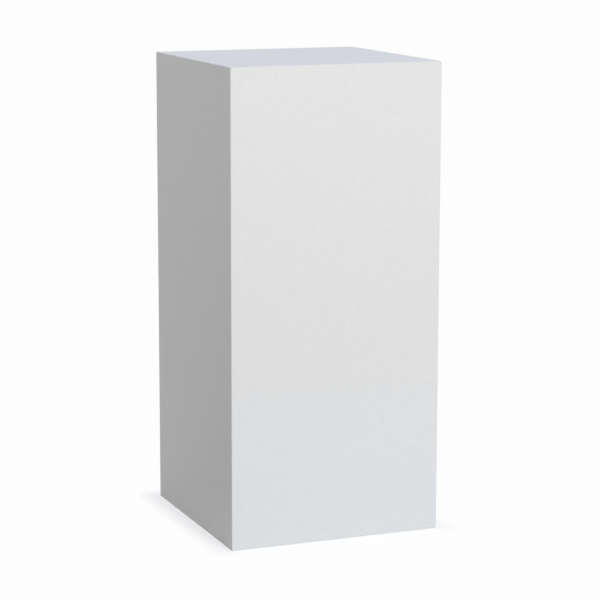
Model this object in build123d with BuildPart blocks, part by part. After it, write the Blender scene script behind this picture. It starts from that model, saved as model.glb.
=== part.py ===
# Display plinth, also sold as a display cube: a square white box, tall for its width, closed on top
# and open underneath. Five laminate-faced boards meet in mitres, so no board edge shows outside.
# Biscuits hold the mitres, battens stiffen the top, and four blocks inside the foot carry levelling feet.
# Millimetres. X runs left to right, Y front to back, Z up. The origin is on the floor, in the middle.

from build123d import *

import os
from math import sqrt

# Outside sizes
plinth_width = 355.6
plinth_depth = 355.6
plinth_height = 762.0

# Boards: a fibreboard core, with laminate glued to its outer face
laminate_thickness = 0.8
core_thickness = 18.0
arris_bevel = 0.7
floor_bevel = 0.5

# Biscuits, and the saw blade that cuts their slots. Margins are from a joint's outer ends.
blade_radius = 50.0
blade_kerf = 4.0
biscuit_length = 53.0
biscuit_width = 19.0
biscuit_side_clearance = 0.05
slot_depth_clearance = 1.0
biscuit_inset = 8.0
corner_biscuit_count = 3
corner_biscuit_margin = 111.0
top_biscuit_margin = 98.0

# Battens under the top
batten_side = 22.0
batten_chamfer = 1.5

# Brads: flat wire with a T-shaped head and a chisel point. Margins are from the inner corners,
# but a corner block's is from the end of its slanting face.
brad_wire = 1.3
brad_wire_depth = 1.0
brad_head = 2.2
brad_head_thickness = 0.6
brad_point = 2.0
brad_cover = 5.0
batten_top_brad_margin = 104.0
batten_wall_brad_margin = 49.0
block_brad_margin = 5.0

# Corner blocks
block_leg = 85.0
block_tip = 12.0
block_height = 32.0
block_corner_relief = 5.0

# Levelling feet: a pad with a socket, a threaded stem and a pronged nut
foot_inset = 28.0
foot_travel = 15.0
pad_across_flats = 25.0
pad_side_count = 16
pad_floor_thickness = 1.5
pad_lip_height = 1.4
button_radius = 4.0
button_height = 2.5
button_clearance = 0.05
socket_headroom = 0.1
socket_grip = 0.75
neck_clearance = 0.7
hex_gap = 1.0
hex_height = 5.0
hex_across_flats = 13.0
stem_radius = 4.0
stem_spare = 4.5
nut_gap = 1.0
nut_running_clearance = 0.06
nut_flange_radius = 11.0
nut_flange_thickness = 1.5
nut_barrel_wall = 1.0
nut_barrel_height = 10.0
prong_count = 4
prong_inset = 1.8
prong_width = 3.6
prong_height = 7.0
prong_thickness = 1.2

# Sizes that follow from those above
board_thickness = core_thickness + laminate_thickness
inner_x = plinth_width / 2 - board_thickness
inner_y = plinth_depth / 2 - board_thickness
under_top = plinth_height - board_thickness
brad_bite = core_thickness - brad_cover
batten_brad_length = batten_side + brad_bite
block_brad_length = sqrt(2) * block_tip + block_brad_margin + brad_bite
socket_radius = button_radius + button_clearance
socket_top = pad_floor_thickness + button_height + socket_headroom
mouth_radius = socket_radius - socket_grip
neck_radius = mouth_radius - neck_clearance
pad_height = socket_top + pad_lip_height
hex_bottom = pad_height + hex_gap
hex_top = hex_bottom + hex_height
block_underside = hex_top + nut_gap + nut_flange_thickness
nut_bore_radius = stem_radius + nut_running_clearance
nut_barrel_radius = nut_bore_radius + nut_barrel_wall
stem_length = nut_gap + nut_flange_thickness + nut_barrel_height + foot_travel + stem_spare

up = Vector(0, 0, 1)
walls = {
    "front": Vector(0, -1, 0),
    "back": Vector(0, 1, 0),
    "left": Vector(-1, 0, 0),
    "right": Vector(1, 0, 0),
}
corners = {
    "front_left": (-1, -1),
    "front_right": (1, -1),
    "back_left": (-1, 1),
    "back_right": (1, 1),
}


def save(piece, name):
    """Labels a finished piece and writes it as a STEP file."""
    piece.label = name
    export_step(piece, f"parts/{name}.step")


def copies(piece, planes):
    """Separate copies of one piece, one on each plane."""
    with BuildPart() as group:
        with Locations(*planes):
            add(piece)
    return group.part


def machined(piece, *cuts):
    """What is left of a piece once its share of the cuts is taken out."""
    with BuildPart() as finished:
        add(piece)
        for cut in cuts:
            add(cut, mode=Mode.SUBTRACT)
    return finished.part


# Where the walls lie


def half_across(outward):
    """Distance from the middle of the plinth to the outside of the wall that faces outward."""
    return plinth_width / 2 if outward.X else plinth_depth / 2


def half_along(outward):
    """Half the outside width of that wall."""
    return plinth_depth / 2 if outward.X else plinth_width / 2


def inner_edge(outward):
    """Middle of the edge where the inside of that wall meets the underside of the top."""
    return outward * (half_across(outward) - board_thickness) + up * under_top


def top_mitre(outward):
    """The plane in which that wall meets the top, with z pointing to the top's side."""
    outer_edge = outward * half_across(outward) + up * plinth_height
    return Plane(outer_edge, z_dir=up - outward)


# Boards


def eased_block():
    """The outside of the whole plinth, with its arrises filed and its foot bevelled."""
    with BuildPart() as block:
        Box(plinth_width, plinth_depth, plinth_height, align=(Align.CENTER, Align.CENTER, Align.MIN))
        upright_edges = block.edges().filter_by(Axis.Z)
        top_edges = block.edges().group_by(Axis.Z)[-1]
        chamfer(upright_edges + top_edges, length=arris_bevel)
        chamfer(block.edges().group_by(Axis.Z)[0], length=floor_bevel)
    return block.part


def wall_board(outward, inset, thickness, outside):
    """An upright board whose outer face lies inset behind the plinth's outside.

    Its upright edges and its top end are mitred at 45 degrees, and its lower end is cut square.
    """
    face_foot = outward * (half_across(outward) - inset)
    half_width = half_along(outward) - inset
    with BuildPart() as board:
        with BuildSketch(Plane(face_foot, x_dir=up.cross(outward), z_dir=up)):
            with BuildLine():
                Polyline(
                    (-half_width, 0),
                    (half_width, 0),
                    (half_width - thickness, thickness),
                    (thickness - half_width, thickness),
                    close=True,
                )
            make_face()
        extrude(amount=plinth_height - inset)
        split(bisect_by=top_mitre(outward), keep=Keep.BOTTOM)
        add(outside, mode=Mode.INTERSECT)
    return board.part


def top_board(inset, thickness, outside):
    """The top board, mitred on all four sides."""
    with BuildPart() as board:
        with BuildSketch(Plane.XY.offset(plinth_height - inset)):
            Rectangle(plinth_width - 2 * inset, plinth_depth - 2 * inset)
        extrude(amount=-thickness)
        for outward in walls.values():
            split(bisect_by=top_mitre(outward), keep=Keep.TOP)
        add(outside, mode=Mode.INTERSECT)
    return board.part


# Biscuits: on each plane, x runs along the joint and z across the mitre, away from the inside


def corner_biscuit_planes():
    """The biscuits of the four upright mitres, spaced evenly from foot to top."""
    planes = []
    pitch = (plinth_height - 2 * corner_biscuit_margin) / (corner_biscuit_count - 1)
    for side_x, side_y in corners.values():
        across = Vector(side_x, side_y, 0).normalized()
        for number in range(corner_biscuit_count):
            height = corner_biscuit_margin + number * pitch
            middle = Vector(side_x * inner_x, side_y * inner_y, height) + across * biscuit_inset
            planes.append(Plane(middle, x_dir=up, z_dir=across))
    return planes


def top_biscuit_planes():
    """The two biscuits of each mitre round the top."""
    planes = []
    for outward in walls.values():
        across = (outward + up).normalized()
        along = outward.cross(up)
        offset = half_along(outward) - top_biscuit_margin
        for side in (-1, 1):
            middle = inner_edge(outward) + across * biscuit_inset + along * side * offset
            planes.append(Plane(middle, x_dir=along, z_dir=across))
    return planes


def lens(width):
    """Draws the overlap of two saw cuts that come from opposite sides of a joint."""
    offset = blade_radius - width / 2
    with Locations((0, offset)):
        Circle(blade_radius)
    with Locations((0, -offset)):
        Circle(blade_radius, mode=Mode.INTERSECT)


def biscuit_slot():
    """What the blade takes out of the two boards together."""
    with BuildPart() as cut:
        with BuildSketch():
            lens(biscuit_width + 2 * slot_depth_clearance)
        extrude(amount=blade_kerf / 2, both=True)
    return cut.part


def biscuit():
    """A pressed beech biscuit: a lens with its points cut off."""
    with BuildPart() as pressed:
        with BuildSketch():
            lens(biscuit_width)
            Rectangle(biscuit_length, biscuit_width, mode=Mode.INTERSECT)
        extrude(amount=blade_kerf / 2 - biscuit_side_clearance, both=True)
    return pressed.part


# Brads: each plane lies on the face that takes the head, with z pointing away from the wood


def batten_brad_planes(outward):
    """Four brads of a batten: two up into the top and two out into the wall."""
    along = outward.cross(up)
    inner_half = half_along(outward) - board_thickness
    top_seat = inner_edge(outward) - outward * (batten_side / 2) - up * batten_side
    wall_seat = inner_edge(outward) - outward * batten_side - up * (batten_side / 2)
    planes = []
    for side in (-along, along):
        top_place = top_seat + side * (inner_half - batten_top_brad_margin)
        wall_place = wall_seat + side * (inner_half - batten_wall_brad_margin)
        planes.append(Plane(top_place, x_dir=along, z_dir=-up))
        planes.append(Plane(wall_place, x_dir=along, z_dir=-outward))
    return planes


def block_brad_planes(side_x, side_y):
    """Two brads of a corner block, driven square into its slanting face near both ends."""
    middle_from_corner = (block_leg + block_tip) / 2
    middle = Vector(
        side_x * (inner_x - middle_from_corner),
        side_y * (inner_y - middle_from_corner),
        block_underside + block_height / 2,
    )
    along = Vector(side_x, -side_y, 0).normalized()
    offset = (block_leg - block_tip) / sqrt(2) - block_brad_margin
    return [Plane(middle + along * side * offset, x_dir=up, z_dir=(-side_x, -side_y, 0)) for side in (-1, 1)]


def brad(length):
    """A brad hanging down from its plane, with its head let in level."""
    shank_end = brad_point - length
    with BuildPart() as nail:
        with BuildSketch(Plane.XZ):
            with BuildLine():
                Polyline(
                    (brad_head / 2, 0),
                    (brad_head / 2, -brad_head_thickness),
                    (brad_wire / 2, -brad_head_thickness),
                    (brad_wire / 2, shank_end),
                    (0, -length),
                    (-brad_wire / 2, shank_end),
                    (-brad_wire / 2, -brad_head_thickness),
                    (-brad_head / 2, -brad_head_thickness),
                    (-brad_head / 2, 0),
                    close=True,
                )
            make_face()
        extrude(amount=brad_wire_depth / 2, both=True)
    return nail.part


# Battens


def batten(outward):
    """A square batten in the corner between a wall and the top, its free arris taken off.

    The front and back battens run the whole width inside, and the side ones fit between them.
    """
    inner_half = half_along(outward) - board_thickness
    half_length = inner_half - batten_side if outward.X else inner_half
    along = outward.cross(up)
    section = Plane(inner_edge(outward) - along * half_length, x_dir=-outward, z_dir=along)
    with BuildPart() as bar:
        with BuildSketch(section):
            with BuildLine():
                Polyline(
                    (0, 0),
                    (batten_side, 0),
                    (batten_side, batten_side - batten_chamfer),
                    (batten_side - batten_chamfer, batten_side),
                    (0, batten_side),
                    close=True,
                )
            make_face()
        extrude(amount=2 * half_length)
    return bar.part


# Levelling feet: pad, stem and nut are made on the Z axis, standing on the floor


def foot_plane(side_x, side_y):
    """The place on the floor where a foot stands."""
    return Plane((side_x * (inner_x - foot_inset), side_y * (inner_y - foot_inset), 0))


def levelling_pad():
    """The nylon pad that stands on the floor, many-sided so that fingers can grip it.

    Its socket holds the stem's button under a lip.
    """
    with BuildPart() as pad:
        with BuildSketch():
            RegularPolygon(pad_across_flats / 2, side_count=pad_side_count, major_radius=False)
        extrude(amount=pad_height)
        with BuildSketch(Plane.XY.offset(pad_floor_thickness)):
            Circle(socket_radius)
        extrude(amount=button_height + socket_headroom, mode=Mode.SUBTRACT)
        with BuildSketch(Plane.XY.offset(socket_top)):
            Circle(mouth_radius)
        extrude(amount=pad_lip_height, mode=Mode.SUBTRACT)
    return pad.part


def levelling_stem():
    """The steel stem: a button in the pad, a hexagon for the spanner, and the shank that the nut runs on."""
    button_top = pad_floor_thickness + button_height
    with BuildPart() as stem:
        with BuildSketch(Plane.XZ):
            with BuildLine():
                Polyline(
                    (0, pad_floor_thickness),
                    (button_radius, pad_floor_thickness),
                    (button_radius, button_top),
                    (neck_radius, button_top),
                    (neck_radius, hex_bottom),
                    (0, hex_bottom),
                    close=True,
                )
            make_face()
        revolve(axis=Axis.Z)
        with BuildSketch(Plane.XY.offset(hex_bottom)):
            RegularPolygon(hex_across_flats / 2, side_count=6, major_radius=False)
        extrude(amount=hex_height)
        with BuildSketch(Plane.XY.offset(hex_top)):
            Circle(stem_radius)
        extrude(amount=stem_length)
    return stem.part


def pronged_nut():
    """A nut with a wide flange under the block, a barrel up inside it and prongs that stop it turning."""
    prong_planes = [
        Plane(place.position, x_dir=place.y_axis.direction, z_dir=place.x_axis.direction)
        for place in PolarLocations(nut_flange_radius - prong_inset, prong_count)
    ]
    flange_underside = block_underside - nut_flange_thickness
    barrel_top = block_underside + nut_barrel_height
    with BuildPart() as nut:
        with BuildSketch(Plane.XZ):
            with BuildLine():
                Polyline(
                    (nut_bore_radius, flange_underside),
                    (nut_flange_radius, flange_underside),
                    (nut_flange_radius, block_underside),
                    (nut_barrel_radius, block_underside),
                    (nut_barrel_radius, barrel_top),
                    (nut_bore_radius, barrel_top),
                    close=True,
                )
            make_face()
        revolve(axis=Axis.Z)
        with BuildSketch(*prong_planes):
            with BuildLine():
                Polyline(
                    (-prong_width / 2, block_underside),
                    (prong_width / 2, block_underside),
                    (0, block_underside + prong_height),
                    close=True,
                )
            make_face()
        extrude(amount=prong_thickness / 2, both=True)
    return nut.part


# Corner blocks


def corner_block(side_x, side_y):
    """A blunt triangular block for a bottom corner, bored for the barrel of its foot's nut.

    Its inner corner is taken off, to stand clear of the glue that runs down the mitre.
    """
    outline = [
        (block_corner_relief, 0),
        (block_leg, 0),
        (block_leg, block_tip),
        (block_tip, block_leg),
        (0, block_leg),
        (0, block_corner_relief),
    ]
    with BuildPart() as block:
        with BuildSketch(Plane.XY.offset(block_underside)):
            with BuildLine():
                Polyline([(side_x * (inner_x - u), side_y * (inner_y - v)) for u, v in outline], close=True)
            make_face()
        extrude(amount=block_height)
        with Locations(foot_plane(side_x, side_y)):
            Hole(nut_barrel_radius)
    return block.part


# Places of the joinery, and all that it cuts out of the wood

biscuit_places = {"corner_biscuits": corner_biscuit_planes(), "top_biscuits": top_biscuit_planes()}
batten_brad_places = [plane for outward in walls.values() for plane in batten_brad_planes(outward)]
block_brad_places = [plane for sides in corners.values() for plane in block_brad_planes(*sides)]
foot_places = {name: foot_plane(*sides) for name, sides in corners.items()}

slots = copies(biscuit_slot(), [plane for planes in biscuit_places.values() for plane in planes])
batten_brads = copies(brad(batten_brad_length), batten_brad_places)
block_brads = copies(brad(block_brad_length), block_brad_places)
nuts = copies(pronged_nut(), foot_places.values())

# Every piece is written to its own file

os.makedirs("parts", exist_ok=True)
outside = eased_block()

for name, outward in walls.items():
    core = wall_board(outward, laminate_thickness, core_thickness, outside)
    save(wall_board(outward, 0, laminate_thickness, outside), f"{name}_laminate")
    save(machined(core, slots, batten_brads, block_brads), f"{name}_panel")
    save(machined(batten(outward), batten_brads), f"top_batten_{name}")
save(top_board(0, laminate_thickness, outside), "top_laminate")
save(machined(top_board(laminate_thickness, core_thickness, outside), slots, batten_brads), "top_panel")

for name, planes in biscuit_places.items():
    save(copies(biscuit(), planes), name)
save(batten_brads, "batten_brads")
save(block_brads, "corner_block_brads")
save(nuts, "leveller_nuts")

for name, place in foot_places.items():
    save(machined(corner_block(*corners[name]), block_brads, nuts), f"corner_block_{name}")
    save(copies(levelling_pad(), [place]), f"leveller_pad_{name}")
    save(copies(levelling_stem(), [place]), f"leveller_stem_{name}")
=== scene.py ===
# Display plinth: the finish of its boards, the threads and mouldings of its feet, and a plain studio.
# Metres, in the plinth's own frame. X runs left to right, Y front to back, Z up from the floor.

from math import cos, pi, radians, sin

import bpy
import numpy as np
from mathutils import Matrix, Vector


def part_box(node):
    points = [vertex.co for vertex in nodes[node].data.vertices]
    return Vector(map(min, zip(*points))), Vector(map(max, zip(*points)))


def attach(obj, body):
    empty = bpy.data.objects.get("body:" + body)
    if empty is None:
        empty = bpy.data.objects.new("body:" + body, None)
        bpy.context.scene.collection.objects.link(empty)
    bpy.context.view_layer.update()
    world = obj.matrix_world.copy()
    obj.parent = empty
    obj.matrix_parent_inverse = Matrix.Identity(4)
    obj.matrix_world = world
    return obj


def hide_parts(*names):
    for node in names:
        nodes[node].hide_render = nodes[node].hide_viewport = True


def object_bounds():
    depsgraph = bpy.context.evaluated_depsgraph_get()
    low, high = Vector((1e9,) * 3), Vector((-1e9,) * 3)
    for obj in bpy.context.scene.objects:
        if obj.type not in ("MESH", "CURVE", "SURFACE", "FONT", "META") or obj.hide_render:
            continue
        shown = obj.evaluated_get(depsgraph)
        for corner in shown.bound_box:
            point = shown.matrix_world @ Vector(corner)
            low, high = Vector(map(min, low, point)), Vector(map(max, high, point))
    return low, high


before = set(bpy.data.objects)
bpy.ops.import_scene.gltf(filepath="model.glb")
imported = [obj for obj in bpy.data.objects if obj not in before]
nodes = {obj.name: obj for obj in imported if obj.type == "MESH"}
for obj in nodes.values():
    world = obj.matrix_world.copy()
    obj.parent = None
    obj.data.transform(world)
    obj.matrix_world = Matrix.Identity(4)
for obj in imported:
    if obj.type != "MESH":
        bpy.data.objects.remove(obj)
cad_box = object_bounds()

millimetre = 0.001

# Sizes that the plinth itself gives
low, high = cad_box
plinth_width = high.x - low.x
plinth_depth = high.y - low.y
plinth_height = high.z
inner_x = abs(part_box("left_panel")[1].x)
inner_y = abs(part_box("front_panel")[1].y)
batten_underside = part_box("top_batten_front")[0].z
block_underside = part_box("corner_block_front_left")[0].z
corners = ("front_left", "front_right", "back_left", "back_right")
walls = ("front", "back", "left", "right")

# Shaders: small helpers that keep the node trees readable


def feed(tree, socket, value):
    """Joins a socket to another one, or sets it to a plain value."""
    if isinstance(value, bpy.types.NodeSocket):
        tree.links.new(value, socket)
    else:
        socket.default_value = value


def put(tree, kind, inputs=None, **settings):
    """Adds a node, sets its properties, and feeds the inputs that are named."""
    made = tree.nodes.new(kind)
    for name, value in settings.items():
        setattr(made, name, value)
    for name, value in (inputs or {}).items():
        feed(tree, made.inputs[name], value)
    return made


def maths(tree, operation, *values):
    """A Math node's result."""
    return put(tree, "ShaderNodeMath", dict(enumerate(values)), operation=operation).outputs[0]


def stretch(tree, place, factors):
    """A place whose three coordinates are multiplied by factors."""
    return put(tree, "ShaderNodeVectorMath", {0: place, 1: factors}, operation="MULTIPLY").outputs[0]


def blend(tree, share, first, second):
    """Two colours mixed by a share from 0 to 1."""
    return put(tree, "ShaderNodeMix", {0: share, 6: first, 7: second}, data_type="RGBA").outputs[2]


def ramp(tree, value, start, end, low_value=0.0, high_value=1.0):
    """A value carried smoothly from one range to another, and held at its ends."""
    inputs = {"Value": value, "From Min": start, "From Max": end, "To Min": low_value, "To Max": high_value}
    return put(tree, "ShaderNodeMapRange", inputs, interpolation_type="SMOOTHSTEP").outputs["Result"]


def noise(tree, place, scale, detail, roughness):
    """Noise from 0 to 1 with that many grains to the metre."""
    inputs = {"Vector": place, "Scale": scale, "Detail": detail, "Roughness": roughness}
    return put(tree, "ShaderNodeTexNoise", inputs).outputs["Fac"]


def speckle(tree, place, size, detail=3.0, roughness=0.55):
    """Noise from 0 to 1 whose grains are about that size across."""
    return noise(tree, place, 1 / size, detail, roughness)


def seen_directly(tree):
    """1 for rays from the camera, from a mirror or through glass, and 0 for the rays that light things."""
    ray = put(tree, "ShaderNodeLightPath").outputs
    mirrored = maths(tree, "MAXIMUM", ray["Is Glossy Ray"], ray["Is Transmission Ray"])
    return maths(tree, "MAXIMUM", ray["Is Camera Ray"], mirrored)


def colour(red, green, blue):
    """A colour with full opacity."""
    return (red, green, blue, 1.0)


def group(name, inputs, outputs):
    """A node group with named sockets and nothing inside. Returns it with the sockets to read and to feed."""
    made = bpy.data.node_groups.new(name, "ShaderNodeTree")
    for label, kind, value in inputs:
        socket = made.interface.new_socket(label, in_out="INPUT", socket_type=kind)
        if value is not None:
            socket.default_value = value
    for label, kind in outputs:
        made.interface.new_socket(label, in_out="OUTPUT", socket_type=kind)
    entry = made.nodes.new("NodeGroupInput")
    way_out = made.nodes.new("NodeGroupOutput")
    return made, entry.outputs, way_out.inputs


def use(tree, made, inputs):
    """Places a node group with its own values, and returns its outputs."""
    holder = put(tree, "ShaderNodeGroup", node_tree=made)
    for name, value in inputs.items():
        feed(tree, holder.inputs[name], value)
    return holder.outputs


# Kinds of socket
VALUE = "NodeSocketFloat"
VECTOR = "NodeSocketVector"


def make_depth_group():
    """How deep a point lies under the plinth's outside, and how far it is from the nearest arris."""
    made, given, result = group(
        "depth_in_plinth",
        [("Place", VECTOR, None)],
        [("Depth", VALUE), ("From Arris", VALUE)],
    )
    split = put(made, "ShaderNodeSeparateXYZ", {"Vector": given["Place"]}).outputs
    from_side = maths(made, "SUBTRACT", plinth_width / 2, maths(made, "ABSOLUTE", split["X"]))
    from_face = maths(made, "SUBTRACT", plinth_depth / 2, maths(made, "ABSOLUTE", split["Y"]))
    from_top = maths(made, "SUBTRACT", plinth_height, split["Z"])
    nearer = maths(made, "MINIMUM", from_side, from_face)
    farther = maths(made, "MAXIMUM", from_side, from_face)
    middle = maths(made, "MAXIMUM", nearer, maths(made, "MINIMUM", farther, from_top))
    made.links.new(maths(made, "MINIMUM", nearer, from_top), result["Depth"])
    made.links.new(middle, result["From Arris"])
    return made


def make_pebble_group():
    """A fine pressed texture: small rounded pebbles on a slow unevenness, as height and as tone."""
    made, given, result = group(
        "pebbles",
        [("Place", VECTOR, None), ("Pebble", VALUE, 0.001), ("Patch", VALUE, 0.02)],
        [("Height", VALUE), ("Tone", VALUE)],
    )
    pebble_scale = maths(made, "DIVIDE", 1.0, given["Pebble"])
    patch_scale = maths(made, "DIVIDE", 1.0, given["Patch"])
    cells = put(
        made,
        "ShaderNodeTexVoronoi",
        {"Vector": given["Place"], "Scale": pebble_scale, "Smoothness": 1.0},
        feature="SMOOTH_F1",
    ).outputs["Distance"]
    grains = noise(made, given["Place"], pebble_scale, detail=4.0, roughness=0.6)
    patches = noise(made, given["Place"], patch_scale, detail=5.0, roughness=0.65)
    rounded = maths(made, "SUBTRACT", 1.0, cells)
    grain_share = 0.45
    slow_part = maths(made, "MULTIPLY", patches, 1 - grain_share)
    made.links.new(maths(made, "MULTIPLY_ADD", grains, 0.8, rounded), result["Height"])
    made.links.new(maths(made, "MULTIPLY_ADD", grains, grain_share, slow_part), result["Tone"])
    return made


def make_wood_group():
    """Timber whose grain runs along the X of the place it is given.

    Rings are cones round a pith far to one side, bent by slow noise. Each ring darkens slowly and ends
    sharply.
    """
    made, given, result = group(
        "wood_grain",
        [("Place", VECTOR, None), ("Ring", VALUE, 0.003), ("Fibre", VALUE, 0.0004), ("Pore", VALUE, 0.0)],
        [("Rings", VALUE), ("Fibres", VALUE), ("Pores", VALUE), ("Height", VALUE)],
    )
    pith_y, pith_z = 0.031, 0.047
    bend_size, bend_reach, cone_slope = 0.04, 0.02, 0.05
    slow = stretch(made, given["Place"], (0.12, 1.0, 1.0))
    bend = speckle(made, slow, bend_size, detail=2.0)
    split = put(made, "ShaderNodeSeparateXYZ", {"Vector": slow}).outputs
    from_pith_y = maths(made, "ADD", split["Y"], pith_y)
    from_pith_z = maths(made, "ADD", split["Z"], pith_z)
    z_squared = maths(made, "MULTIPLY", from_pith_z, from_pith_z)
    radius = maths(made, "SQRT", maths(made, "MULTIPLY_ADD", from_pith_y, from_pith_y, z_squared))
    bent = maths(made, "MULTIPLY_ADD", bend, bend_reach, radius)
    coned = maths(made, "MULTIPLY_ADD", split["X"], cone_slope, bent)
    phase = maths(made, "FRACT", maths(made, "DIVIDE", coned, given["Ring"]))
    late = ramp(made, phase, 0.35, 0.9)
    early = ramp(made, phase, 0.93, 1.0, 1.0, 0.0)
    rings = maths(made, "MULTIPLY", late, early)
    fine = stretch(made, given["Place"], (0.03, 1.0, 1.0))
    fibre_scale = maths(made, "DIVIDE", 1.0, given["Fibre"])
    fibres = noise(made, fine, fibre_scale, detail=4.0, roughness=0.65)
    pores = maths(made, "MULTIPLY", ramp(made, fibres, 0.62, 0.7), given["Pore"])
    height = maths(made, "SUBTRACT", maths(made, "MULTIPLY_ADD", rings, 0.4, fibres), pores)
    made.links.new(rings, result["Rings"])
    made.links.new(fibres, result["Fibres"])
    made.links.new(pores, result["Pores"])
    made.links.new(height, result["Height"])
    return made


def make_arris_highlight_group():
    """A painted highlight along arrises: a mask that is strongest near arrises, broken up by noise."""
    made, given, result = group(
        "painted_arris_highlight",
        [
            ("Place", VECTOR, None),
            ("From Arris", VALUE, 0.0),
            ("Reach", VALUE, 0.001),
            ("Grain", VALUE, 0.004),
        ],
        [("Mask", VALUE)],
    )
    near = ramp(made, maths(made, "DIVIDE", given["From Arris"], given["Reach"]), 0.0, 1.0, 1.0, 0.0)
    grain_scale = maths(made, "DIVIDE", 1.0, given["Grain"])
    broken = noise(made, given["Place"], grain_scale, detail=4.0, roughness=0.6)
    made.links.new(maths(made, "MULTIPLY", near, ramp(made, broken, 0.4, 0.65)), result["Mask"])
    return made


depth_in_plinth = make_depth_group()
pebbles = make_pebble_group()
wood_grain = make_wood_group()
painted_arris_highlight = make_arris_highlight_group()


def new_material(name):
    """A material with one shader. Returns the material, its tree, the shader and Object coordinates."""
    made = bpy.data.materials.new(name)
    made.use_nodes = True
    tree = made.node_tree
    tree.nodes.clear()
    shader = put(tree, "ShaderNodeBsdfPrincipled")
    put(tree, "ShaderNodeOutputMaterial", {"Surface": shader.outputs["BSDF"]})
    place = put(tree, "ShaderNodeTexCoord").outputs["Object"]
    return made, tree, shader, place


def finish_surface(tree, shader, base, roughness, height, relief):
    """Joins colour, roughness and relief, in metres, to a shader."""
    tree.links.new(base, shader.inputs["Base Color"])
    tree.links.new(roughness, shader.inputs["Roughness"])
    bump = put(tree, "ShaderNodeBump", {"Height": height, "Strength": 1.0, "Distance": relief})
    tree.links.new(bump.outputs["Normal"], shader.inputs["Normal"])


def make_white_laminate():
    """White through-coloured laminate with a satin, finely pebbled face, and a painted highlight along its
    arrises.
    """
    made, tree, shader, place = new_material("white_laminate")
    pressed = use(tree, pebbles, {"Place": place, "Pebble": 0.0017, "Patch": 0.006})
    depth = use(tree, depth_in_plinth, {"Place": place})
    # Painted highlight: the white turns paler within about a millimetre of each arris, broken up by noise.
    highlight_inputs = {"Place": place, "From Arris": depth["From Arris"], "Reach": 0.0012, "Grain": 0.012}
    painted_highlight = use(tree, painted_arris_highlight, highlight_inputs)
    tone = ramp(tree, pressed["Tone"], 0.3, 0.7)
    face = blend(tree, tone, colour(0.876, 0.876, 0.876), colour(0.922, 0.922, 0.922))
    highlighted_face = blend(tree, painted_highlight["Mask"], face, colour(0.95, 0.95, 0.95))
    roughness = ramp(tree, pressed["Tone"], 0.3, 0.7, 0.50, 0.42)
    finish_surface(tree, shader, highlighted_face, roughness, pressed["Height"], relief=0.00003)
    shader.inputs["IOR"].default_value = 1.5
    return made


def make_fibreboard():
    """Fibreboard: close brown fibres, darker and furrier on the sawn ends, densest just under each face."""
    made, tree, shader, place = new_material("fibreboard")
    depth = use(tree, depth_in_plinth, {"Place": place})
    flecks = speckle(tree, place, 0.0009, detail=5.0, roughness=0.7)
    clouds = speckle(tree, place, 0.03)
    fibres = speckle(tree, stretch(tree, place, (1.0, 1.0, 0.25)), 0.0005, roughness=0.75)
    height_above_floor = put(tree, "ShaderNodeSeparateXYZ", {"Vector": place}).outputs["Z"]
    sawn = ramp(tree, height_above_floor, 0.0006, 0.0012, 1.0, 0.0)
    board_middle, soft_core, hard_skin = 0.0098, 0.003, 0.0088
    off_middle = maths(tree, "ABSOLUTE", maths(tree, "SUBTRACT", depth["Depth"], board_middle))
    near_face = ramp(tree, off_middle, soft_core, hard_skin)
    face = blend(tree, ramp(tree, clouds, 0.35, 0.65), colour(0.47, 0.31, 0.18), colour(0.54, 0.365, 0.22))
    flecked = blend(tree, ramp(tree, flecks, 0.45, 0.68, 0.0, 0.6), face, colour(0.28, 0.17, 0.09))
    paler = blend(tree, ramp(tree, fibres, 0.5, 0.72, 0.0, 0.6), flecked, colour(0.72, 0.55, 0.37))
    end = blend(tree, near_face, colour(0.44, 0.31, 0.19), colour(0.30, 0.2, 0.115))
    end_flecked = blend(tree, ramp(tree, flecks, 0.4, 0.7, 0.0, 0.5), end, colour(0.5, 0.36, 0.22))
    base = blend(tree, sawn, paler, end_flecked)
    roughness = ramp(tree, fibres, 0.3, 0.7, 0.72, 0.88)
    finish_surface(tree, shader, base, roughness, maths(tree, "ADD", flecks, fibres), relief=0.00006)
    return made


def timber(name, turn, ring, fibre, pore, pale, dark, pore_colour, relief):
    """A plain timber whose grain runs along X once its place is turned."""
    made, tree, shader, place = new_material(name)
    along = put(tree, "ShaderNodeMapping", {"Vector": place, "Rotation": turn}).outputs["Vector"]
    grain = use(tree, wood_grain, {"Place": along, "Ring": ring, "Fibre": fibre, "Pore": pore})
    clouds = speckle(tree, along, 0.05, detail=2.0)
    body = blend(tree, grain["Rings"], pale, dark)
    streaked = blend(tree, ramp(tree, grain["Fibres"], 0.35, 0.7, 0.0, 0.35), body, dark)
    shaded = blend(tree, ramp(tree, clouds, 0.3, 0.7, 0.0, 0.25), streaked, pale)
    base = blend(tree, grain["Pores"], shaded, pore_colour)
    roughness = ramp(tree, grain["Fibres"], 0.3, 0.7, 0.55, 0.75)
    finish_surface(tree, shader, base, roughness, grain["Height"], relief)
    return made


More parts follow.
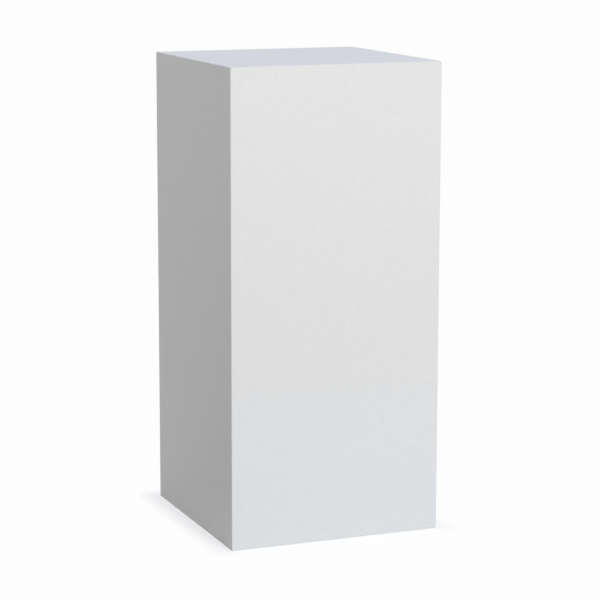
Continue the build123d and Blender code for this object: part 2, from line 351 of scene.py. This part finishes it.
def make_plywood():
    """Birch plywood: veneers that lie flat and cross each other, with dark glue lines between them."""
    made, tree, shader, place = new_material("plywood")
    veneer = 0.0014
    split = put(tree, "ShaderNodeSeparateXYZ", {"Vector": place}).outputs
    level = maths(tree, "DIVIDE", maths(tree, "SUBTRACT", split["Z"], block_underside), veneer)
    odd = maths(tree, "GREATER_THAN", maths(tree, "FRACT", maths(tree, "MULTIPLY", level, 0.5)), 0.5)
    across = put(tree, "ShaderNodeCombineXYZ", {"X": split["Y"], "Y": split["X"], "Z": split["Z"]}).outputs[0]
    chosen = put(tree, "ShaderNodeMix", {0: odd, 4: place, 5: across}, data_type="VECTOR").outputs[1]
    grain = use(tree, wood_grain, {"Place": chosen, "Ring": 0.009, "Fibre": 0.0005, "Pore": 0.5})
    body = blend(tree, grain["Rings"], colour(0.80, 0.66, 0.46), colour(0.70, 0.54, 0.34))
    crossed = blend(tree, maths(tree, "MULTIPLY", odd, 0.5), body, colour(0.56, 0.39, 0.23))
    streaks = ramp(tree, grain["Fibres"], 0.45, 0.75, 0.0, 0.4)
    streaked = blend(tree, streaks, crossed, colour(0.50, 0.34, 0.20))
    off_middle = maths(tree, "ABSOLUTE", maths(tree, "SUBTRACT", maths(tree, "FRACT", level), 0.5))
    seam = ramp(tree, off_middle, 0.42, 0.48)
    glued = blend(tree, maths(tree, "MULTIPLY", seam, 0.55), streaked, colour(0.20, 0.11, 0.06))
    roughness = ramp(tree, grain["Fibres"], 0.3, 0.7, 0.6, 0.8)
    finish_surface(tree, shader, glued, roughness, grain["Height"], relief=0.00005)
    return made


def make_zinc():
    """Bright zinc plate on steel: a faint blue and straw bloom with fine rubbing marks."""
    made, tree, shader, place = new_material("zinc_plated_steel")
    bloom = speckle(tree, place, 0.006)
    grain = speckle(tree, place, 0.0004, detail=4.0, roughness=0.7)
    cool = blend(tree, ramp(tree, bloom, 0.35, 0.65), colour(0.60, 0.62, 0.66), colour(0.68, 0.66, 0.60))
    base = blend(tree, ramp(tree, grain, 0.55, 0.8, 0.0, 0.5), cool, colour(0.45, 0.45, 0.46))
    roughness = ramp(tree, grain, 0.3, 0.7, 0.26, 0.42)
    finish_surface(tree, shader, base, roughness, grain, relief=0.000012)
    shader.inputs["Metallic"].default_value = 1.0
    return made


def make_black_nylon():
    """Black moulded nylon with a spark-eroded skin, a little greyed where it rubs the floor."""
    made, tree, shader, place = new_material("black_nylon")
    skin = use(tree, pebbles, {"Place": place, "Pebble": 0.00035, "Patch": 0.005})
    height_above_floor = put(tree, "ShaderNodeSeparateXYZ", {"Vector": place}).outputs["Z"]
    near_floor = ramp(tree, height_above_floor, 0.0, 0.0012, 1.0, 0.0)
    rubbed = maths(tree, "MULTIPLY", near_floor, ramp(tree, skin["Tone"], 0.45, 0.6))
    tone = ramp(tree, skin["Tone"], 0.35, 0.65)
    plain = blend(tree, tone, colour(0.022, 0.022, 0.024), colour(0.036, 0.036, 0.038))
    base = blend(tree, maths(tree, "MULTIPLY", rubbed, 0.5), plain, colour(0.11, 0.11, 0.11))
    roughness = ramp(tree, skin["Tone"], 0.35, 0.65, 0.48, 0.62)
    finish_surface(tree, shader, base, roughness, skin["Height"], relief=0.00002)
    return made


def make_dried_glue():
    """White wood glue that has dried glassy and a little yellow."""
    made, tree, shader, place = new_material("dried_glue")
    clouds = speckle(tree, place, 0.006)
    base = blend(tree, ramp(tree, clouds, 0.35, 0.65), colour(0.62, 0.53, 0.36), colour(0.74, 0.68, 0.52))
    roughness = ramp(tree, clouds, 0.3, 0.7, 0.22, 0.38)
    finish_surface(tree, shader, base, roughness, clouds, relief=0.0001)
    shader.inputs["Subsurface Weight"].default_value = 0.1
    shader.inputs["Subsurface Radius"].default_value = (0.002, 0.0015, 0.001)
    return made


quarter_turn = pi / 2
white_laminate = make_white_laminate()
fibreboard = make_fibreboard()
pine_pale = colour(0.78, 0.60, 0.38)
pine_dark = colour(0.62, 0.40, 0.19)
beech_pale = colour(0.67, 0.49, 0.32)
beech_dark = colour(0.55, 0.37, 0.22)
beech_pores = colour(0.33, 0.2, 0.11)
pine = {
    "fibre": 0.0004,
    "pore": 0.1,
    "pale": pine_pale,
    "dark": pine_dark,
    "pore_colour": pine_dark,
    "relief": 0.00006,
}
pine_crosswise = timber("pine_crosswise", (0, 0, 0), ring=0.0032, **pine)
pine_lengthwise = timber("pine_lengthwise", (0, 0, quarter_turn), ring=0.0028, **pine)
beech = timber(
    "beech",
    (0, 0, quarter_turn / 2),
    ring=0.002,
    fibre=0.0003,
    pore=0.6,
    pale=beech_pale,
    dark=beech_dark,
    pore_colour=beech_pores,
    relief=0.0001,
)
plywood = make_plywood()
zinc_plated_steel = make_zinc()
black_nylon = make_black_nylon()
dried_glue = make_dried_glue()


def dress(name, material):
    """Gives a node of the plinth its finish."""
    node = nodes[name]
    if not node.material_slots:
        node.data.materials.append(material)
    for slot in node.material_slots:
        slot.material = material


for wall in (*walls, "top"):
    dress(f"{wall}_laminate", white_laminate)
    dress(f"{wall}_panel", fibreboard)
for wall in ("front", "back"):
    dress(f"top_batten_{wall}", pine_crosswise)
for wall in ("left", "right"):
    dress(f"top_batten_{wall}", pine_lengthwise)
for corner in corners:
    dress(f"corner_block_{corner}", plywood)
    dress(f"leveller_pad_{corner}", black_nylon)
    dress(f"leveller_stem_{corner}", zinc_plated_steel)
for name in ("corner_biscuits", "top_biscuits"):
    dress(name, beech)
for name in ("batten_brads", "corner_block_brads", "leveller_nuts"):
    dress(name, zinc_plated_steel)

# Surfaces worked out on a grid


def grid_piece(name, grids, material, sharp=30):
    """Makes one mesh from closed grids of points, each of shape (rows, columns, 3), with a word for its ends.

    Columns run once round and join up. Rows run from one end to the other: "capped" closes each end by a fan
    to its own middle, and "ring" joins the last row to the first. Edges bent by more than sharp degrees
    stay crisp.
    """
    places, faces, start = [], [], 0
    for points, ends in grids:
        rows, columns, _ = points.shape
        number = start + np.arange(rows * columns).reshape(rows, columns)
        if ends == "ring":
            number = np.concatenate([number, number[:1]])
        beside = np.roll(number, -1, axis=1)
        faces += np.stack([number[:-1], beside[:-1], beside[1:], number[1:]], axis=-1).reshape(-1, 4).tolist()
        places.append(points.reshape(-1, 3))
        start += rows * columns
        if ends == "capped":
            faces += np.stack([beside[0], number[0], np.full(columns, start)], axis=-1).tolist()
            faces += np.stack([number[-1], beside[-1], np.full(columns, start + 1)], axis=-1).tolist()
            places.append(np.stack([points[0].mean(axis=0), points[-1].mean(axis=0)]))
            start += 2
    mesh = bpy.data.meshes.new(name)
    mesh.from_pydata(np.concatenate(places).tolist(), [], faces)
    mesh.shade_smooth()
    mesh.set_sharp_from_angle(angle=radians(sharp))
    mesh.materials.append(material)
    piece = bpy.data.objects.new(name, mesh)
    bpy.context.scene.collection.objects.link(piece)
    return piece


def turned_points(centre, radii, heights):
    """Points of a turned surface: at angle a and row i, (x + r cos a, y + r sin a, z).

    radii and heights have the shape (rows, columns), or (rows, 1) where they are the same all round.
    """
    angle = np.arange(radii.shape[1]) * 2 * pi / radii.shape[1]
    heights = np.broadcast_to(heights, radii.shape)
    return np.stack([centre[0] + radii * np.cos(angle), centre[1] + radii * np.sin(angle), heights], axis=-1)


def column(values):
    """Numbers as one column, to meet a row of angles."""
    return np.array(values, float)[:, None]


def angles(count):
    """Angles once round, as one row."""
    return (np.arange(count) * 2 * pi / count)[None, :]


def smooth_step(value):
    """0 below 0, 1 above 1, and 3v² - 2v³ between."""
    value = np.clip(value, 0, 1)
    return value * value * (3 - 2 * value)


def from_middle_of_side(angle, sides):
    """Angle from the middle of the nearest side of a polygon that has a corner at angle 0."""
    return np.mod(angle, 2 * pi / sides) - pi / sides


# Feet

shank_radius = 4.0 * millimetre
thread_depth = 0.62 * millimetre
thread_pitch = 1.25 * millimetre
thread_flank = 1.6
thread_land = 0.2
thread_start = 0.3
rows_per_pitch = 10
point_chamfer = 0.9 * millimetre
button_radius = 4.0 * millimetre
button_height = 2.5 * millimetre
button_rounding = 0.35 * millimetre
neck_radius = 2.6 * millimetre
hex_apothem = 6.5 * millimetre
hex_bottom = 6.5 * millimetre
hex_top = 11.5 * millimetre
hex_chamfer = 0.8 * millimetre
hex_facing = 0.1 * millimetre
hex_chamfer_angle = radians(30)
stem_columns = 96

pad_apothem = 12.5 * millimetre
pad_sides = 16
pad_corner_radius = 12.62 * millimetre
pad_edge = 0.5 * millimetre
pad_shoulder = 1.2 * millimetre
pad_dish = 0.3 * millimetre
pad_scallop = 0.35 * millimetre
pad_rim = 2.2 * millimetre
pad_recess = 0.7 * millimetre
pad_gate = 1.6 * millimetre
pad_gate_recess = 0.15
pad_rib_count = 12
pad_rib_rise = 0.8
pad_rib_onset = 0.55
pad_rib_steepness = 4
pad_sole_margin = 1.01
pad_rib_fade = 0.5 * millimetre
mouth_radius = 3.3 * millimetre
lip_radius = 4.9 * millimetre
socket_top = 4.1 * millimetre
pad_columns = 192

nut_bore = 4.06 * millimetre
nut_barrel = 5.06 * millimetre
nut_flange = 11.0 * millimetre
nut_flange_thickness = 1.5 * millimetre
nut_edge = 0.35 * millimetre
nut_notch = 1.5 * millimetre
notch_half_angle = radians(11)
prong_count = 4
prong_width = 3.6 * millimetre
prong_height = 7.0 * millimetre
prong_thickness = 1.2 * millimetre
prong_radius = 9.2 * millimetre
prong_middle = 0.5
prong_tip = 0.96
nut_columns = 144


def stem(name, body, node):
    """A levelling stem: button, neck, hexagon and threaded shank, as a radius over angle and height.

    The hexagon's radius is its apothem over the cosine of the angle from the middle of the nearest flat, cut
    by a cone at both ends. The thread's radius is a trapezoid wave of height over pitch minus angle over a
    turn, which makes a right-hand helix, cut by a cone at the tip and faded in above the hexagon.
    """
    lowest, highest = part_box(node)
    bottom, top = lowest.z, highest.z
    angle = angles(stem_columns)
    button_top = bottom + button_height
    edge = button_rounding
    arc = np.linspace(0, pi / 2, 5)
    turned = [(button_radius - edge + edge * sin(a), bottom + edge - edge * cos(a)) for a in arc]
    turned += [(button_radius - edge + edge * cos(a), button_top - edge + edge * sin(a)) for a in arc]
    turned += [(neck_radius, button_top), (neck_radius, hex_bottom)]
    turned_radius = column([r for r, _ in turned]) + 0 * angle
    turned_height = column([z for _, z in turned])
    low_chamfer = np.linspace(hex_bottom, hex_bottom + hex_chamfer, 6)
    high_chamfer = np.linspace(hex_top - hex_chamfer, hex_top, 6)
    hex_height = column([*low_chamfer, *high_chamfer])
    into_hex = np.minimum(hex_height - hex_bottom, hex_top - hex_height)
    flats = hex_apothem / np.cos(from_middle_of_side(angle, 6))
    hex_radius = np.minimum(flats, hex_apothem - hex_facing + into_hex / np.tan(hex_chamfer_angle))
    turns = (top - hex_top) / thread_pitch
    shank_height = np.linspace(hex_top, top, int(turns * rows_per_pitch) + 1)[:, None]
    turn = (shank_height - hex_top) / thread_pitch
    phase = np.mod(turn - angle / (2 * pi), 1)
    wave = np.clip(np.abs(phase * 2 - 1) * thread_flank - thread_land, 0, 1)
    threads = shank_radius - thread_depth * wave * smooth_step(turn - thread_start)
    shank = np.minimum(threads, shank_radius - point_chamfer + (top - shank_height))
    radii = np.concatenate([turned_radius, hex_radius, shank])
    heights = np.concatenate([turned_height, hex_height, shank_height])
    points = turned_points((lowest + highest) / 2, radii, heights)
    piece = grid_piece(name, [(points, "capped")], zinc_plated_steel)
    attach(piece, body)
    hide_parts(node)


def pad(name, body, node):
    """A levelling pad: a profile of radius and height carried round a many-sided outline with blunt corners.

    Each side is scooped by a squared cosine of the angle from its middle. The sole is recessed inside a rim
    and crossed by ribs, whose height is a steep wave of the angle. The top is dished towards a lip round the
    mouth.
    """
    lowest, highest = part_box(node)
    bottom, top = lowest.z, highest.z
    angle = angles(pad_columns)
    edge = pad_edge
    arc = np.linspace(0, pi / 2, 6)
    shoulder = top - pad_shoulder
    rim = pad_apothem - pad_rim
    gate = pad_gate
    gate_height, sole_height = bottom + pad_recess * pad_gate_recess, bottom + pad_recess
    profile = [(gate * 0.5, gate_height), (gate, gate_height), (gate * 1.2, sole_height)]
    profile += [(radius, sole_height) for radius in np.linspace(gate * 1.5, rim - 0.7 * millimetre, 8)]
    profile += [(rim - 0.35 * millimetre, sole_height), (rim, bottom)]
    profile += [(pad_apothem - edge + edge * sin(a), bottom + edge - edge * cos(a)) for a in arc]
    profile += [(pad_apothem, height) for height in np.linspace(bottom + 2 * edge, shoulder - 2 * edge, 6)]
    profile += [(pad_apothem - edge + edge * cos(a), shoulder - edge + edge * sin(a)) for a in arc]
    profile += [
        (pad_apothem - 3 * edge, shoulder - pad_dish),
        (lip_radius + 3 * edge, shoulder - pad_dish),
        (lip_radius + edge, top - 1.5 * edge),
        (lip_radius, top - pad_dish),
        (lip_radius - pad_dish, top),
        (mouth_radius + pad_dish, top),
        (mouth_radius, top - pad_dish),
        (mouth_radius, bottom + socket_top),
    ]
    radii = column([r for r, _ in profile]) + 0 * angle
    heights = column([z for _, z in profile]) + 0 * angle
    off_middle = from_middle_of_side(angle, pad_sides)
    outline = np.minimum(pad_apothem / np.cos(off_middle), pad_corner_radius) / pad_apothem
    outward = smooth_step((radii - lip_radius) / (pad_apothem - lip_radius))
    upright = smooth_step((heights - bottom) / edge) * smooth_step((shoulder - heights) / edge)
    at_side = smooth_step((radii - pad_apothem + edge) / edge) * upright
    scallop = pad_scallop * np.cos(off_middle * pad_sides / 2) ** 2 * at_side
    past_gate = smooth_step((radii - 1.4 * gate) / gate)
    before_rim = smooth_step((rim - radii) / pad_rib_fade - 1)
    wave = np.cos(angle * pad_rib_count)
    ribs = smooth_step((wave - pad_rib_onset) * pad_rib_steepness) * past_gate * before_rim
    in_sole = heights < bottom + pad_recess * pad_sole_margin
    heights = heights - np.where(in_sole, ribs * pad_recess * pad_rib_rise, 0)
    points = turned_points((lowest + highest) / 2, radii * (1 + (outline - 1) * outward) - scallop, heights)
    piece = grid_piece(name, [(points, "capped")], black_nylon)
    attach(piece, body)
    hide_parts(node)


def nut_points(x, y):
    """A pronged nut's grids: a ring whose profile has radius and height, and its prongs.

    The ring's outline steps in at a notch outside each prong, which was bent up out of the flange. A prong's
    width falls evenly to nothing at its tip.
    """
    angle = angles(nut_columns)
    under, top = block_underside - nut_flange_thickness, block_underside
    barrel_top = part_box("leveller_nuts")[1].z
    edge = nut_edge
    profile = [
        (nut_bore, barrel_top),
        (nut_bore, under + 2 * edge),
        (nut_bore + 2 * edge, under),
        (nut_flange - edge, under),
        (nut_flange, under + edge),
        (nut_flange, top - edge / 2),
        (nut_flange - edge / 2, top),
        (nut_barrel, top),
        (nut_barrel, barrel_top),
    ]
    radii = column([r for r, _ in profile]) + 0 * angle
    sector = 2 * pi / prong_count
    from_notch = np.abs(np.mod(angle + sector / 2, sector) - sector / 2)
    notch = nut_notch * (from_notch < notch_half_angle)
    radii = np.where(radii > nut_barrel * 1.5, radii - notch, radii)
    grids = [(turned_points((x, y), radii, column([z for _, z in profile])), "ring")]
    rise = column([0, prong_middle, prong_tip])
    width, thickness = prong_width / 2, prong_thickness / 2
    for turn in np.arange(prong_count) * sector:
        outward = np.array([np.cos(turn), np.sin(turn), 0])
        beside = np.array([-np.sin(turn), np.cos(turn), 0])
        middle = np.array([x, y, top]) + outward * prong_radius
        across = np.array([-1, 1, 1, -1]) * width * (1 - rise)
        through = np.array([-1, -1, 1, 1]) * thickness + 0 * rise
        upward = rise * prong_height + 0 * across
        points = middle + across[..., None] * beside + through[..., None] * outward
        points = points + upward[..., None] * np.array([0, 0, 1])
        grids.append((points[:, ::-1], "capped"))
    return grids


nut_grids = []
for corner in corners:
    stem(f"threaded_stem_{corner}", f"stem_{corner}", f"leveller_stem_{corner}")
    pad(f"moulded_pad_{corner}", f"pad_{corner}", f"leveller_pad_{corner}")
    lowest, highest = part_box(f"leveller_stem_{corner}")
    nut_grids += nut_points((lowest.x + highest.x) / 2, (lowest.y + highest.y) / 2)
pronged_nuts = grid_piece("pronged_nuts", nut_grids, zinc_plated_steel)
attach(pronged_nuts, "plinth")
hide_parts("leveller_nuts")

# Glue that was squeezed out of the joints inside

bead_columns = 12
bead_step = 1.2 * millimetre
bead_radius = 1.5 * millimetre
bead_sink = 0.3 * millimetre
bead_end_gap = 2.0 * millimetre
bead_taper = 3 * bead_radius
bead_blunt_end = 0.02


def bead_points(start, end, side_a, side_b, seed):
    """A run of dried glue in a corner, from start to end, bulging between two walls.

    At distance s along it and angle a round it the point is start + s·along + r·(cos a·side_a +
    sin a·side_b), and r is the bead's radius times one plus a sum of slow sine waves, tapered at both ends.
    """
    start, end = np.array(start), np.array(end)
    length = np.linalg.norm(end - start)
    along = (end - start) / length
    travel = np.linspace(0, length, int(length / bead_step) + 1)[:, None]
    shifts = np.random.default_rng(seed).uniform(0, 2 * pi, 4)
    waves = np.array([0.007, 0.017, 0.041, 0.11])
    swells = np.array([0.08, 0.12, 0.15, 0.16])
    uneven = sum(s * np.sin(2 * pi * travel / w + p) for s, w, p in zip(swells, waves, shifts))
    taper = np.sqrt(np.clip(np.minimum(travel, length - travel) / bead_taper, bead_blunt_end, 1))
    radius = bead_radius * (1 + uneven) * taper
    angle = angles(bead_columns)
    across = np.cos(angle)[..., None] * np.array(side_a) + np.sin(angle)[..., None] * np.array(side_b)
    turned_right = np.dot(np.cross(side_a, side_b), along) > 0
    points = start + travel[..., None] * along + radius[..., None] * across
    return (points if turned_right else points[:, ::-1]), "capped"


along_x, along_y, along_z = (1, 0, 0), (0, 1, 0), (0, 0, 1)
bead_x, bead_y = inner_x - bead_sink, inner_y - bead_sink
reach_x, reach_y = inner_x - bead_end_gap, inner_y - bead_end_gap
under_batten = batten_underside - bead_sink
glue_grids = []
for number, corner in enumerate(corners):
    x = -bead_x if corner.endswith("left") else bead_x
    y = -bead_y if corner.startswith("front") else bead_y
    foot, head = (x, y, bead_end_gap), (x, y, batten_underside)
    glue_grids.append(bead_points(foot, head, along_x, along_y, number))
for number, side in enumerate((-1, 1)):
    start, end = (-reach_x, side * bead_y, under_batten), (reach_x, side * bead_y, under_batten)
    glue_grids.append(bead_points(start, end, along_y, along_z, 10 + number))
    start, end = (side * bead_x, -reach_y, under_batten), (side * bead_x, reach_y, under_batten)
    glue_grids.append(bead_points(start, end, along_x, along_z, 20 + number))
squeezed_glue = grid_piece("squeezed_glue", glue_grids, dried_glue)
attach(squeezed_glue, "plinth")

# Studio: a pale floor, soft lamps, and a camera at the photograph's angle

camera_azimuth = radians(-22.05)
camera_elevation = radians(10.40)
camera_roll = radians(0.11)
camera_distance = 4.839 * plinth_height
camera_shift_right = -0.011 * plinth_height
camera_shift_up = 0.026 * plinth_height
lens_length = 134.1
floor_radius = 4.0
floor_points = 96
floor_bevel = 0.5 * millimetre
shadow_full = 3 * millimetre
shadow_gone = 45 * millimetre
paper_white = 0.985
sky_strength = 0.435


def set_camera():
    """Places the camera by azimuth, elevation and roll about the plinth's middle, then slides it across."""
    back = Vector(
        (
            sin(camera_azimuth) * cos(camera_elevation),
            -cos(camera_azimuth) * cos(camera_elevation),
            sin(camera_elevation),
        )
    )
    level = Vector((cos(camera_azimuth), sin(camera_azimuth), 0))
    upward = back.cross(level)
    right = cos(camera_roll) * level + sin(camera_roll) * upward
    above = cos(camera_roll) * upward - sin(camera_roll) * level
    middle = Vector((0, 0, plinth_height / 2))
    place = middle - camera_shift_right * right - camera_shift_up * above + camera_distance * back
    data = bpy.data.cameras.new("camera")
    data.lens = lens_length
    data.sensor_width = 36
    data.clip_end = 100
    made = bpy.data.objects.new("camera", data)
    made.matrix_world = Matrix.Translation(place) @ Matrix((right, above, back)).transposed().to_4x4()
    bpy.context.scene.collection.objects.link(made)
    bpy.context.scene.camera = made


def soft_box(name, place, aim, width, height, power, tint, spread=180):
    """A flat lamp that faces a point and lights a cone of that many degrees."""
    data = bpy.data.lights.new(name, "AREA")
    data.shape = "RECTANGLE"
    data.size = width
    data.size_y = height
    data.energy = power
    data.color = tint
    data.spread = radians(spread)
    made = bpy.data.objects.new(name, data)
    made.visible_camera = False
    made.location = place
    made.rotation_euler = (Vector(place) - Vector(aim)).to_track_quat("Z", "Y").to_euler()
    bpy.context.scene.collection.objects.link(made)


def floor_material():
    """A pale floor that the camera sees as white but for the plinth's shadow, and not at all from below."""
    made = bpy.data.materials.new("studio_floor")
    made.use_nodes = True
    tree = made.node_tree
    tree.nodes.clear()
    place = put(tree, "ShaderNodeTexCoord").outputs["Object"]
    size = put(tree, "ShaderNodeVectorMath", {0: place}, operation="ABSOLUTE").outputs[0]
    half_foot = (plinth_width / 2, plinth_depth / 2, 0.0)
    beyond = put(tree, "ShaderNodeVectorMath", {0: size, 1: half_foot}, operation="SUBTRACT").outputs[0]
    nothing = (0.0, 0.0, 0.0)
    outside = put(tree, "ShaderNodeVectorMath", {0: beyond, 1: nothing}, operation="MAXIMUM").outputs[0]
    distance = put(tree, "ShaderNodeVectorMath", {0: outside}, operation="LENGTH").outputs["Value"]
    far = ramp(tree, distance, shadow_full, shadow_gone)
    matt = put(tree, "ShaderNodeBsdfDiffuse", {"Color": colour(0.525, 0.51, 0.48)}).outputs[0]
    shaded = put(tree, "ShaderNodeBsdfDiffuse", {"Color": colour(0.7, 0.7, 0.7)}).outputs[0]
    glow = put(tree, "ShaderNodeEmission", {"Color": colour(1, 1, 1), "Strength": 0.5}).outputs[0]
    near = put(tree, "ShaderNodeAddShader", {0: shaded, 1: glow}).outputs[0]
    white = put(tree, "ShaderNodeEmission", {"Color": colour(1, 1, 1), "Strength": paper_white}).outputs[0]
    viewed = put(tree, "ShaderNodeMixShader", {0: far, 1: near, 2: white}).outputs[0]
    lit = put(tree, "ShaderNodeMixShader", {0: seen_directly(tree), 1: matt, 2: viewed}).outputs[0]
    clear = put(tree, "ShaderNodeBsdfTransparent").outputs[0]
    below = put(tree, "ShaderNodeNewGeometry").outputs["Backfacing"]
    surface = put(tree, "ShaderNodeMixShader", {0: below, 1: lit, 2: clear}).outputs[0]
    put(tree, "ShaderNodeOutputMaterial", {"Surface": surface})
    return made


def lay_floor():
    """A round floor, open under the plinth's foot, so that light from all round reaches its underside.

    It runs in straight lines from the foot's square to the rim's circle, at the same angles.
    """
    angle = np.arange(floor_points) * 2 * pi / floor_points + pi / 4
    ray = np.stack([np.cos(angle), np.sin(angle), np.zeros(floor_points)], axis=-1)
    half_foot = plinth_width / 2 - floor_bevel
    square = ray * half_foot / np.abs(ray).max(axis=1, keepdims=True)
    places = np.concatenate([square, ray * floor_radius])
    inner = np.arange(floor_points)
    following = np.roll(inner, -1)
    faces = np.stack([inner, inner + floor_points, following + floor_points, following], axis=-1)
    mesh = bpy.data.meshes.new("studio_floor")
    mesh.from_pydata(places.tolist(), [], faces.tolist())
    mesh.materials.append(floor_material())
    made = bpy.data.objects.new("studio_floor", mesh)
    bpy.context.scene.collection.objects.link(made)


def set_world():
    """An even grey sky for the light, which the camera and reflections see as white."""
    world = bpy.data.worlds.new("studio")
    world.use_nodes = True
    tree = world.node_tree
    tree.nodes.clear()
    sky = put(tree, "ShaderNodeBackground", {"Color": colour(1, 1, 1), "Strength": sky_strength}).outputs[0]
    white = put(tree, "ShaderNodeBackground", {"Color": colour(1, 1, 1), "Strength": paper_white}).outputs[0]
    both = put(tree, "ShaderNodeMixShader", {0: seen_directly(tree), 1: sky, 2: white}).outputs[0]
    put(tree, "ShaderNodeOutputWorld", {"Surface": both})
    bpy.context.scene.world = world


set_camera()
lay_floor()
set_world()
soft_box(
    "key_lamp",
    place=(1.6, -6.2, 1.95),
    aim=(0, 0, 0.4),
    width=2.4,
    height=2.4,
    power=179.5,
    tint=(1.0, 1.0, 1.0),
)
soft_box(
    "top_lamp",
    place=(0.0, 0.3, 3.2),
    aim=(0, 0, 0.76),
    width=1.6,
    height=1.6,
    power=8.3,
    tint=(0.7, 0.95, 1.6),
)
soft_box(
    "low_lamp",
    place=(0.1, -1.4, 0.05),
    aim=(0, -0.18, 0.0),
    width=1.0,
    height=0.08,
    power=0.065,
    tint=(0.0, 0.45, 1.0),
    spread=32,
)
bpy.context.scene.view_settings.view_transform = "Standard"
